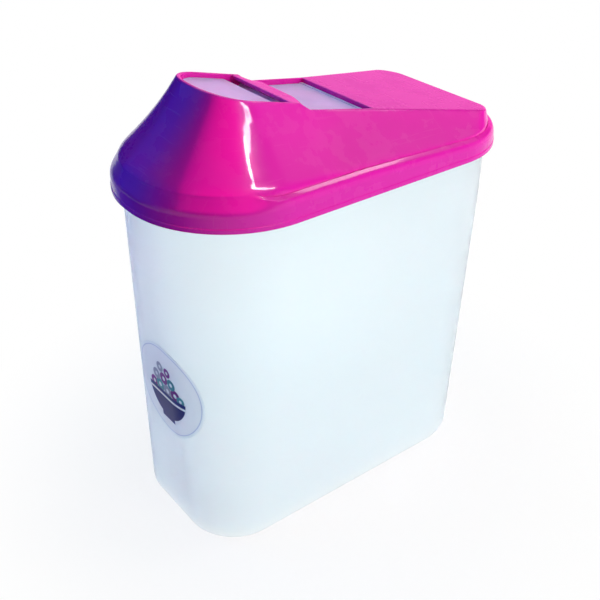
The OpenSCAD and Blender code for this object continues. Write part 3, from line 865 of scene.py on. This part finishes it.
class KEEPER_OT_lid(bpy.types.Operator):
    """Model the snap lid: skirt, shoulder, hood, plate, nose, bay, mouth and bridge bar"""

    bl_idname = "keeper.lid"
    bl_label = "Lid"

    HEM_SOFT = (0.4 * MM, 0.3 * MM)     # rounding of the hem's lower and upper edges
    HEM_TOP = 0.25 * MM     # height of the hem's sloping top
    SHOULDER = 4.6 * MM     # height of the shoulder's rounding
    CREASE = (2.3 * MM, -1.1 * MM)  # top of the shoulder's rounding from the deck, in front and at the rear
    CREASE_RUN = (-10 * MM, 75 * MM)    # where it falls
    LEDGE = 1.6 * MM        # from the rounding to the hood
    SLOPE = math.tan(math.radians(25))  # of the bevel between them
    BEVEL_END = 0.3 * MM    # how far that bevel stops short of the hood
    GROOVE = 0.5 * MM       # depth of the groove between them
    FLANK = (-3.6 * MM, 5.5 * MM)   # soft flank in place of the shoulder at the front, from the deck
    FADE = (-70 * MM, -54 * MM)     # where the shoulder takes over from the flank, from front to rear
    FLAT = 0.6 * MM         # flat strip kept inside the hood's rounded top edge
    SNAP_BELOW = 1.2 * MM   # from the rim bead's underside down to the snap bead
    SNAP_SOFT = (0.4 * MM, 0.5 * MM)    # rounding at the snap bead's foot and top
    LEAD = 0.4 * MM         # chamfer that leads the plug ring in
    PLUG_SOFT = 0.3 * MM    # rounding of the plug ring's tip
    BOSS_WALL = 2.2 * MM    # wall round a trunnion's bore
    BORE_END = 0.5 * MM     # clearance at the end of a trunnion
    # upper edge of the mouth, as shares of its rounding: widened by, below the ledge
    MOUTH_EDGE = ((0, 1), (0.12, 0.5), (0.45, 0.15), (1.1, -0.1), (1.1, -3))
    MOUTH_SOFT = 0.5 * MM   # that rounding
    REACH = 60 * MM         # how far the mouth's cutter goes down
    CROWN = 0.45            # share of the bar's half width where its crown is at full height
    BAR_UNDER = 0.2 * MM    # how far the bar lies under the nose's rim
    BAR_ROOM = 0.4 * MM     # room between the bar's arch and the hub
    BAR_SOFT = (0.4 * MM, 0.5 * MM)     # rounding of its lower edges and of its arch

    def execute(self, context):
        form = Form(context.scene)
        flap, wall = form.flap, form.lid.bay_wall
        lid = across_loft("lid_shell", self.outside(form))
        space = across_loft("inside", self.inside(form))
        combine(space, across_loft("bay_block", self.bay(form, wall)), "DIFFERENCE")
        pin_end = form.flap_half + flap.trunnion_len
        boss = rod("boss", flap.trunnion_r + self.BOSS_WALL, pin_end + wall, form.pivot_y, form.pivot_z)
        combine(space, boss, "DIFFERENCE")
        combine(lid, space, "DIFFERENCE")
        combine(lid, across_loft("bay", self.bay(form, 0)), "DIFFERENCE")
        combine(lid, across_loft("mouth", self.mouth(form)), "DIFFERENCE")
        bore = rod("bore", flap.trunnion_r + flap.trunnion_gap, pin_end + self.BORE_END,
                   form.pivot_y, form.pivot_z)
        combine(lid, bore, "DIFFERENCE")
        combine(lid, loft("bridge_bar", self.bar(form)), "UNION")
        finish_mesh(lid)
        stand_in(lid, "lid_body", "lid", lid_plastic(context.scene.keeper_finish))
        return {"FINISHED"}

    def outside(self, form):
        """Rings from the skirt's lower edge up to the flat top."""
        feet = [(x, y, form.hood_z) for x, y in form.lid_half(form.lid.hood_out)]
        onward = form.lid_half(form.lid.hood_out + MM)
        tops = form.top_half(0)
        columns = []
        for foot, top, beyond in zip(feet, tops, onward):
            share = self.shoulder_share(foot[1])
            column = []
            for crisp, soft in zip(self.crisp_skirt(form, foot[1]), self.soft_skirt(form, foot, top)):
                out, z, shift = (mixed(p, q, share) for p, q in zip(soft, crisp))
                near = self.hood_point(foot, top, shift)
                reach = (out - form.lid.hood_out) / MM
                x, y = (near[k] + (beyond[k] - foot[k]) * reach for k in (0, 1))
                column.append((x, y, z))
            columns.append(column)
        rows = [list(row) for row in zip(*columns)]
        hood = self.hood(form, feet, tops)
        groove = []
        for foot, top, (x, y, z) in zip(feet, tops, hood[0]):
            near = self.hood_point(foot, top, (z - self.GROOVE / 2 - foot[2]) / (top[2] - foot[2]))
            share = self.shoulder_share(foot[1])
            groove.append(tuple(mixed(p, q, share) for p, q in zip(near, (x, y, z - self.GROOVE))))
        return [ring(row) for row in rows + [groove] + hood]

    def shoulder_share(self, y):
        """How much of the crisp shoulder stands at y, where the soft flank fades out."""
        return eased(share_of(y, *self.FADE))

    def crease_z(self, form, y):
        """Top of the shoulder's rounding."""
        return form.deck_z + mixed(*self.CREASE, share_of(y, *self.CREASE_RUN))

    def hem(self, form):
        lid, out, z = form.lid, form.skirt_out, form.skirt_z
        low, high = self.HEM_SOFT
        path = softened([(out - lid.wall * 0.4, z, 0), (out, z, low), (out, z + lid.hem_h, high),
                         (out - lid.hem_out, z + lid.hem_h + self.HEM_TOP, high),
                         (out - lid.hem_out, z + lid.hem_h + MM, 0)])
        return [(out, z, 0) for out, z in path]

    def crisp_skirt(self, form, y):
        """Hem, wall and rounded shoulder with a crease, as (outwards, height, share of the hood)."""
        out, edge = form.skirt_out - form.lid.hem_out, form.lid.hood_out + self.LEDGE
        high = self.crease_z(form, y)
        low = high - self.SHOULDER
        rounding = [(edge + (out - edge) * math.cos(a), low + (high - low) * math.sin(a), 0)
                    for a in turns(0, 79, 13)]
        last, (out, z, _) = form.lid.hood_out + self.BEVEL_END, rounding[-1]
        return self.hem(form) + rounding + [(last, z + (out - last) * self.SLOPE, 0)]

    def soft_skirt(self, form, foot, top):
        """Hem, wall and a soft flank that runs into the hood."""
        out, inner = form.skirt_out - form.lid.hem_out, form.lid.hood_out
        low, high = (form.deck_z + reach for reach in self.FLANK)
        flank = []
        for s in spaced(0, 1, 14):
            z = mixed(low, high - self.GROOVE, s)
            share = max(z - foot[2], 0) / (top[2] - foot[2])
            flank.append((mixed(out, inner, eased(s)), z, share))
        return self.hem(form) + flank

    def hood(self, form, feet, tops):
        """Half rings of the hood from the groove to the rounded top edge."""
        radii = [self.edge_r(form, top[1]) for top in tops]
        inner = form.top_half(max(radii))
        rows = []
        for s in spaced(0, 1, 28):
            row = []
            for foot, top, r in zip(feet, tops, radii):
                crisp = self.crease_z(form, foot[1]) + self.LEDGE * self.SLOPE
                start = mixed(form.deck_z + self.FLANK[1], crisp, self.shoulder_share(foot[1]))
                first = (start - foot[2]) / (top[2] - foot[2])
                last = 1 - r / math.dist(foot, top)
                row.append(self.hood_point(foot, top, mixed(first, last, s)))
            rows.append(row)
        sides = rows[-1]
        for t in spaced(0, 1, 5)[1:]:
            rows.append([bezier(side, top, towards(top, far, r), t)
                         for side, top, far, r in zip(sides, tops, inner, radii)])
        rows.append([towards(top, far, r + self.FLAT) for top, far, r in zip(tops, inner, radii)])
        return rows

    def hood_point(self, foot, top, share):
        """Point of the hood at a share of its height; x and y move inwards by the hood's curve."""
        w = spline(Form.HOOD, share)
        return (mixed(foot[0], top[0], w), mixed(foot[1], top[1], w), mixed(foot[2], top[2], share))

    def edge_r(self, form, y):
        """Rounding of the hood's top edge, small at the nose and larger at the plate."""
        return mixed(form.lid.edge_r, form.lid.plate_edge_r, share_of(y, form.bar_rear, form.lid.step_y))

    def inside(self, form):
        """The space under the lid: up the skirt, past its snap bead, round the plug ring, into the hood."""
        lid, b = form.lid, form.b
        skirt = form.skirt_out - lid.wall
        snap_z = form.rim_z - b.bead_h - self.SNAP_BELOW
        plug_out = -b.wall - lid.plug_gap
        plug_in = plug_out - lid.plug_t
        low = form.rim_z - lid.plug_drop
        foot, crest = self.SNAP_SOFT
        path = softened([(skirt, form.skirt_z - 2 * MM, 0), (skirt, snap_z - MM, foot),
                         (skirt - lid.snap_out, snap_z, crest), (skirt, snap_z + MM, foot),
                         (skirt, form.seat_z, crest), (plug_out, form.seat_z, foot),
                         (plug_out, low + MM, crest), (plug_out - self.LEAD, low, self.PLUG_SOFT),
                         (plug_in + self.PLUG_SOFT, low, self.PLUG_SOFT), (plug_in, low + MM, self.PLUG_SOFT),
                         (plug_in, form.deck_z, 0)])
        feet = [(x, y, form.hood_z + lid.wall / 3) for x, y in form.lid_half(lid.hood_out - lid.wall)]
        tops = form.top_half(lid.wall * 1.25, lid.wall)
        hood = [ring([self.hood_point(foot, top, share) for foot, top in zip(feet, tops)])
                for share in spaced(0, 1, 18)]
        return [level(form.lid_half(out), z) for out, z in path] + hood

    def bay(self, form, wall):
        """The space that the flap lies in, or with a wall the block round it."""
        end = form.lid.step_y + wall
        plan = form.bay_half(wall, form.floor_ys(), end)
        rows = [[(x, y, self.bay_floor(form, y, wall)) for x, y in plan]]
        if wall:
            rows.append([(x, y, form.top(y) + MM) for x, y in plan])
        else:
            r = form.lid.bay_edge_r
            steps = [quarter(r, a) for a in turns(0, 80, 4)]
            for flare, drop in steps + [(1.2 * r, -0.1 * MM), (1.2 * r, -3 * MM)]:
                plan = form.bay_half(flare, form.floor_ys(), end + flare)
                rows.append([(x, y, form.top(y) - drop) for x, y in plan])
        return [ring(row) for row in rows]

    def bay_floor(self, form, y, wall):
        if wall and form.trough_front - wall < y < form.trough_front:
            return form.trough_z - wall
        return form.bay_floor(y) - wall

    def mouth(self, form):
        """The opening inside the ledge, from far below up to its rounded upper edge."""
        plan = form.bay_half(-form.flap.ledge_w, [], form.mouth_rear)
        rows = [ring([(x, y, form.rim_z - self.REACH) for x, y in plan])]
        for out, down in self.MOUTH_EDGE:
            flare = out * self.MOUTH_SOFT
            plan = form.bay_half(flare - form.flap.ledge_w, [], form.mouth_rear + flare)
            rows.append(ring([(x, y, form.ledge(y) - down * self.MOUTH_SOFT) for x, y in plan]))
        return rows

    def bar(self, form):
        """Sections of the bridge bar, whose crown carries the nose's rim on to the rear in the middle."""
        flap = form.flap
        arch = form.pivot_z + form.hub_r + self.BAR_ROOM
        front, back = (form.rim(y) - self.BAR_UNDER for y in (form.bar_front, form.nose_back))
        middle, side = form.rim(form.bar_rear) - self.BAR_UNDER, form.plate(form.bar_rear)
        end = form.nose_hw - form.lid.wall / 3
        r, (low, inner) = flap.bar_edge_r, self.BAR_SOFT
        sections = []
        for share in spaced(-1, 1, 25):
            crown = mixed(side, middle, eased(min((1 - abs(share)) / (1 - self.CROWN), 1)))
            path = softened([(form.pivot_y, arch, 0), (form.pivot_y - form.hub_r / 2, arch, inner),
                             (form.bar_front, front - flap.bar_t, low), (form.bar_front, front, r),
                             (form.nose_back, back, r), (form.bar_rear, crown, r),
                             (form.bar_rear, side - flap.bar_t + self.BAR_UNDER, low),
                             (form.pivot_y + form.hub_r - MM, arch, inner),
                             (form.pivot_y, arch, 0)], steps=6)
            sections.append([(share * end, y, z) for y, z in path[:-1]])
        return sections


# ---------- the flap ----------


class KEEPER_OT_flap(bpy.types.Operator):
    """Model the rocker flap: slab, seal lip, hub and trunnions"""

    bl_idname = "keeper.flap"
    bl_label = "Flap"

    STRIP = 2.4 * MM        # strip across the thumb pad's rear end
    STRIP_H = 0.4 * MM      # height of the strip
    STRIP_RUN = 0.2 * MM    # run of its front edge
    KNEE_END = (2 * MM, 3.3 * MM)   # lower end of the knee: behind its top, above the pivot
    HUB_TOP = ((-3 * MM, 1.6 * MM), (3 * MM, 0.8 * MM))     # upper side over the hub, from the pivot
    PAD_START = 0.5 * MM    # from the bar to the level part of the thumb pad
    BENDS = (1.2 * MM, MM, 0.1 * MM)    # rounding at the knee and the pad, over the hub, and at the strip
    HUB_IN = 0.15 * MM      # clearance at the hub's ends
    LIP_SOFT = 0.5 * MM     # rounding of the seal lip's tip

    def execute(self, context):
        form = Form(context.scene)
        slab = across_loft("spout_flap_shell", self.slab(form))
        combine(slab, hoop("seal_lip", self.lip(form)), "UNION")
        for name, r, half in (("hub", form.hub_r, form.flap_half - self.HUB_IN),
                              ("trunnions", form.flap.trunnion_r, form.flap_half + form.flap.trunnion_len)):
            combine(slab, rod(name, r, half, form.pivot_y, form.pivot_z), "UNION")
        finish_mesh(slab)
        stand_in(slab, "flap_body", "spout_flap", flap_plastic(context.scene.keeper_finish))
        return {"FINISHED"}

    def side_ys(self, form):
        """Places of the points along the flap's side, close together where it bends."""
        strip, pad = form.flap_end - self.STRIP, form.bar_rear + 3 * MM
        return (spaced(form.knee_y - 3 * MM, pad, 44) + spaced(pad, strip - self.STRIP_RUN / 2, 4)[1:]
                + spaced(strip, strip + self.STRIP_RUN, 2) + [strip + 1.5 * self.STRIP_RUN])

    def surface(self, form):
        """The flap's upper side as (y, height), with rounded bends."""
        sunk, pad_sunk, ahead = form.flap.sunk, form.flap.pad_sunk, 0.1
        main, small, crisp = self.BENDS
        strip, pad = form.flap_end - self.STRIP, form.bar_rear + self.PAD_START
        path = [(-ahead, form.rim(-ahead) - sunk, 0), (form.knee_y, form.rim(form.knee_y) - sunk, main),
                (form.knee_y + self.KNEE_END[0], form.pivot_z + self.KNEE_END[1], small)]
        path += [(form.pivot_y + y, form.pivot_z + z, small) for y, z in self.HUB_TOP]
        path += [(pad, form.plate(pad) - pad_sunk, main), (strip, form.plate(strip) - pad_sunk, crisp),
                 (strip + self.STRIP_RUN, form.plate(strip) - pad_sunk + self.STRIP_H, crisp),
                 (ahead, form.plate(ahead) - pad_sunk + self.STRIP_H, 0)]
        return softened(path, steps=8)

    def slab(self, form):
        """Rings round the flap's edge, whose sides draw in towards the thumb pad's end."""
        f, end = form.flap, form.flap_end
        slim_end = form.edge_hw(end) - form.lid.wall - f.gap - form.slim
        top = self.surface(form)
        rows = []
        for ins, drop in self.edge_path(f.thick, f.edge_r):
            plan = form.nose_half(form.lid.wall + f.gap + ins)
            for y in self.side_ys(form) + [end - ins]:
                plan.append((mixed(form.flap_half, slim_end, share_of(y, form.nose_back, end)) - ins, y))
            rows.append(ring([(x, y, polyline(top, y) - drop) for x, y in plan]))
        return rows

    def edge_path(self, thick, r):
        """Steps round the slab's edge, from underside to top, as (inwards, below the top)."""
        high = [quarter(r, a) for a in turns(0, 90, 4)]
        low = [(drop, thick - ins) for ins, drop in high]
        return [(2.5 * r, thick)] + low + high + [(2.5 * r, 0)]

    def lip(self, form):
        """Down the lip's outside, round its tip and up its inside."""
        f, r = form.flap, self.LIP_SOFT
        root, tip, t = f.sunk + f.thick / 2, f.sunk + f.thick + f.lip_deep, f.lip_t
        path = softened([(0, root, 0), (0, tip, r), (t, tip, r), (t, root, 0)])
        rows = []
        for ins, drop in path:
            plan = form.bay_half(-f.ledge_w - f.lip_gap - ins, [], form.mouth_rear - f.lip_gap - ins)
            rows.append(ring([(x, y, form.rim(y) - drop) for x, y in plan]))
        return rows


# ---------- the sticker ----------


class KEEPER_OT_sticker(bpy.types.Operator):
    """Model the round sticker on the body's front"""

    bl_idname = "keeper.sticker"
    bl_label = "Sticker"

    SPOKES = 96             # points round the sticker
    RINGS = 14              # rings from its centre to its edge
    LIFT = 0.1 * MM         # between the wall and the sticker
    EDGE = 0.06 * MM        # bevel of its edge

    def execute(self, context):
        form = Form(context.scene)
        sizes = context.scene.keeper_sticker
        edge, r = self.EDGE, sizes.across / 2
        radii = spaced(0, r - edge, self.RINGS)
        low, high = self.LIFT, self.LIFT + sizes.thick
        path = ([(inner, low) for inner in radii] + [(r, low + edge), (r, high - edge)]
                + [(inner, high) for inner in reversed(radii)])
        rings = [[self.point(form, sizes, r, out, i) for i in range(self.SPOKES)] for r, out in path]
        sticker = loft("round_sticker_sheet", rings, closed=False)
        finish_mesh(sticker, sharp=50)
        self.map_label(form, sizes, sticker)
        stand_in(sticker, "container", "round_sticker", sticker_paper(context.scene.keeper_finish))
        return {"FINISHED"}

    def point(self, form, sizes, r, out, i):
        a = 2 * math.pi * i / self.SPOKES
        return form.wall_point(sizes.side + r * math.cos(a), sizes.height + r * math.sin(a), out)

    def map_label(self, form, sizes, sticker):
        """Gives the sticker its own map, 0 to 1 across, measured along the wall."""
        layer = sticker.data.uv_layers.new(name="label")
        for loop in sticker.data.loops:
            x, y, z = sticker.data.vertices[loop.vertex_index].co
            along = form.wall_place(x, y, z)
            layer.data[loop.index].uv = ((along - sizes.side) / sizes.across + 0.5,
                                         (z - sizes.height) / sizes.across + 0.5)


# ---------- the stage ----------


class KEEPER_OT_stage(bpy.types.Operator):
    """Set up the floor, the world, the lamps and the camera"""

    bl_idname = "keeper.stage"
    bl_label = "Stage"

    # soft boxes that light the surfaces: azimuth and elevation in degrees, size in metres, power in watts
    LAMPS = (("side", 102, 10, 0.6, 9.2, (1.0, 0.98, 0.98)), ("rear", 165, 50, 0.7, 8.0, (1.0, 0.98, 0.98)),
             ("fill", -50, 25, 0.8, 8.0, (0.01, 0.44, 1.0)))
    # strips that only show as highlights: what they face, from one direction to another, distance, width,
    # power
    STREAKS = (("streak_tip", (0.033, -0.06, 0.22), (119, 41.2), (107.5, 44.7), 0.22, 0.006, 0.04),
               ("streak_top", (0.033, -0.06, 0.22), (108, 44.5), (92.5, 52), 0.22, 0.017, 0.13),
               ("streak_low", (0.033, -0.06, 0.22), (90.2, 51.5), (93, 56.2), 0.22, 0.015, 0.07),
               ("streak_end", (0.033, -0.06, 0.22), (92.6, 56), (97, 57.5), 0.22, 0.009, 0.02),
               ("streak_edge", (0.054, 0, 0.199), (-170, 58), (-162, 40), 0.9, 0.11, 1.1))
    # cards that only glossy surfaces see: azimuth, elevation, distance, size, colour, softness of the edge
    CARDS = (("front_dark", -72, 18, 1.2, (2.1, 1.2), (0.01, 0.005, 0.1), 0),
             ("top_dark", 5, 50, 1.25, (1.7, 1.4), (0.02, 0.005, 0.06), 0),
             ("right_dark", 75, 45, 1.2, (1.5, 1.3), (0.03, 0.005, 0.03), 0),
             ("rear_dark", 165, 42, 1.2, (2.2, 1.5), (0.02, 0.0, 0.015), 0),
             ("right_glow", 42, 52, 1.05, (2.0, 1.1), (13.0, 0.0, 3.2), 0.4),
             ("front_glow", -42, 24, 1.05, (1.9, 1.1), (0.0, 0.0, 2.1), 0.4),
             ("low_glow", -138, 7, 1.22, (1.5, 0.7), (1.7, 0.35, 1.0), 0.1),
             ("low_dark", -28, -13.3, 0.52, (1.2, 0.75), (0.0, 0.005, 0.6), 0.25))

    CENTRE = Vector((0, 0, 0.12))       # what the lamps and cards face
    LAMP_AWAY = 1.1         # distance of the soft boxes from it
    WORLD_LIGHT = 0.04      # strength of the world for what isn't seen
    FLOOR_SEEN = (0.92, 0.92, 0.93, 1)  # colour of the floor where it is seen
    FLOOR_THROWN = (0.4, 0.5, 0.7, 1)   # and in the light that it throws back
    FLOOR_FADE = (0.08, 0.22, 0.85, 1)  # background in the floor: from and to, in metres, and its share there

    def execute(self, context):
        context.scene.view_settings.view_transform = "Standard"
        self.world(context.scene)
        self.floor()
        for name, azimuth, elevation, size, power, tint in self.LAMPS:
            spot = self.around(self.CENTRE, azimuth, elevation, self.LAMP_AWAY)
            self.lamp(name, spot, self.CENTRE, size, power, tint)
        for name, centre, *strip in self.STREAKS:
            self.streak(name, Vector(centre), *strip)
        for name, azimuth, elevation, distance, *card in self.CARDS:
            spot = self.around(self.CENTRE, azimuth, elevation, distance)
            # a card below the horizon lies flat and faces up
            self.card(name, spot, spot + Vector((0, 0, 1)) if elevation < 0 else self.CENTRE, *card)
        self.camera(context.scene)
        return {"FINISHED"}

    def around(self, centre, azimuth, elevation, distance):
        """Point seen from the centre at an azimuth from the front and an elevation, in degrees."""
        a, e = math.radians(azimuth), math.radians(elevation)
        out = Vector((math.sin(a) * math.cos(e), -math.cos(a) * math.cos(e), math.sin(e)))
        return centre + distance * out

    def aim(self, piece, spot, target):
        piece.location = spot
        piece.rotation_mode = "QUATERNION"
        piece.rotation_quaternion = (target - spot).to_track_quat("-Z", "Y")

    def plane(self, name, size):
        bpy.ops.object.select_all(action="DESELECT")
        bpy.ops.mesh.primitive_plane_add(size=size)
        bpy.context.object.name = name
        return bpy.context.object

    def lamp(self, name, spot, centre, size, power, tint, height=0.0):
        """A soft box that lights without being seen in glossy surfaces."""
        light = bpy.data.lights.new(name, "AREA")
        light.shape = "RECTANGLE"
        light.size, light.size_y = size, height or size
        light.energy = power
        light.color = tint
        lamp = bpy.data.objects.new(name, light)
        bpy.context.collection.objects.link(lamp)
        self.aim(lamp, spot, centre)
        lamp.visible_glossy = False
        return lamp

    def streak(self, name, centre, first, last, distance, width, power):
        """A strip that runs between two directions and is only seen in glossy surfaces."""
        start, end = (self.around(centre, *place, distance) for place in (first, last))
        spot = (start + end) / 2
        lamp = self.lamp(name, spot, centre, width, power, (1, 1, 1), (end - start).length)
        out, along = (spot - centre).normalized(), (end - start).normalized()
        lamp.rotation_quaternion = Matrix((along.cross(out), along, out)).transposed().to_quaternion()
        lamp.visible_glossy = True
        lamp.visible_diffuse = lamp.visible_transmission = False

    def card(self, name, spot, target, size, tint, soft):
        """A glowing card with soft edges that only glossy surfaces see."""
        card = self.plane(name, 1)
        card.scale = (*size, 1)
        self.aim(card, spot, target)
        material, w = new_material(name)
        place = w.add("ShaderNodeTexCoord").outputs["Object"]
        x, y, _ = w.add("ShaderNodeSeparateXYZ", {"Vector": place}).outputs
        edge = w.calc("SUBTRACT", 0.5, w.highest(w.calc("ABSOLUTE", x), w.calc("ABSOLUTE", y)))
        w.finish_between(w.ramp(edge, 0, max(soft, 0.001)), w.add("ShaderNodeBsdfTransparent"), w.glow(tint))
        card.data.materials.append(material)
        card.visible_camera = card.visible_transmission = card.visible_diffuse = card.visible_shadow = False

    def world(self, scene):
        """White where it is seen, softer as light."""
        world = scene.world or bpy.data.worlds.new("studio")
        scene.world = world
        world.use_nodes = True
        world.node_tree.nodes.clear()
        w = Wiring(world.node_tree)
        strength = w.ramp(w.seen(), 0, 1, self.WORLD_LIGHT, 1.0, smooth=False)
        light = w.add("ShaderNodeBackground", {"Color": (1, 1, 1, 1), "Strength": strength})
        w.finish(light, "ShaderNodeOutputWorld")

    def floor(self):
        """A white floor that keeps the shadow and turns into the background away from the object."""
        floor = self.plane("floor", 6)
        material, w = new_material("studio floor")
        place = w.add("ShaderNodeTexCoord").outputs["Object"]
        away = w.add("ShaderNodeVectorMath", {0: place}, operation="LENGTH").outputs["Value"]
        seen = w.seen()
        matt = w.add("ShaderNodeBsdfDiffuse", {"Color": w.blend(seen, self.FLOOR_THROWN, self.FLOOR_SEEN)})
        w.finish_between(w.product(seen, w.ramp(away, *self.FLOOR_FADE)), matt, w.glow((1, 1, 1)))
        floor.data.materials.append(material)

    def camera(self, scene):
        s = scene.keeper_stage
        data = bpy.data.cameras.new("camera")
        camera = bpy.data.objects.new("camera", data)
        scene.collection.objects.link(camera)
        target = Vector((0, s.target_y, s.target_z))
        spot = self.around(target, math.degrees(s.azimuth), math.degrees(s.elevation), s.distance)
        self.aim(camera, spot, target)
        camera.rotation_quaternion = camera.rotation_quaternion @ Quaternion((0, 0, 1), s.roll)
        data.sensor_width = 36
        data.lens = s.focal
        data.shift_x, data.shift_y = s.shift_x, s.shift_y
        data.clip_start, data.clip_end = 0.01, 20
        scene.camera = camera


# ---------- add-on ----------


class KEEPER_PT_panel(bpy.types.Panel):
    """Sizes, colours and the steps that build the container"""

    bl_label = "Cereal container"
    bl_space_type = "VIEW_3D"
    bl_region_type = "UI"
    bl_category = "Container"

    def draw(self, context):
        for label, group_name, _, step in SECTIONS:
            box = self.layout.box()
            box.label(text=label)
            if step:
                box.operator(step.bl_idname)
            settings = getattr(context.scene, group_name)
            for name in settings.bl_rna.properties.keys():
                if name not in ("rna_type", "name"):
                    box.prop(settings, name)


SECTIONS = (
    ("Body", "keeper_body", KeeperBody, KEEPER_OT_body),
    ("Lid", "keeper_lid", KeeperLid, KEEPER_OT_lid),
    ("Flap", "keeper_flap", KeeperFlap, KEEPER_OT_flap),
    ("Sticker", "keeper_sticker", KeeperSticker, KEEPER_OT_sticker),
    ("Finish", "keeper_finish", KeeperFinish, None),
    ("Stage", "keeper_stage", KeeperStage, KEEPER_OT_stage),
)
CLASSES = [cls for section in SECTIONS for cls in section[2:] if cls] + [KEEPER_PT_panel]


def register():
    for cls in CLASSES:
        bpy.utils.register_class(cls)
    for _, group_name, settings, _ in SECTIONS:
        setattr(bpy.types.Scene, group_name, PointerProperty(type=settings))


def unregister():
    for _, group_name, _, _ in SECTIONS:
        delattr(bpy.types.Scene, group_name)
    for cls in reversed(CLASSES):
        bpy.utils.unregister_class(cls)


def main():
    register()
    bpy.ops.keeper.body()
    bpy.ops.keeper.lid()
    bpy.ops.keeper.flap()
    bpy.ops.keeper.sticker()
    bpy.ops.keeper.stage()
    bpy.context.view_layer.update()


if __name__ == "__main__":
    main()
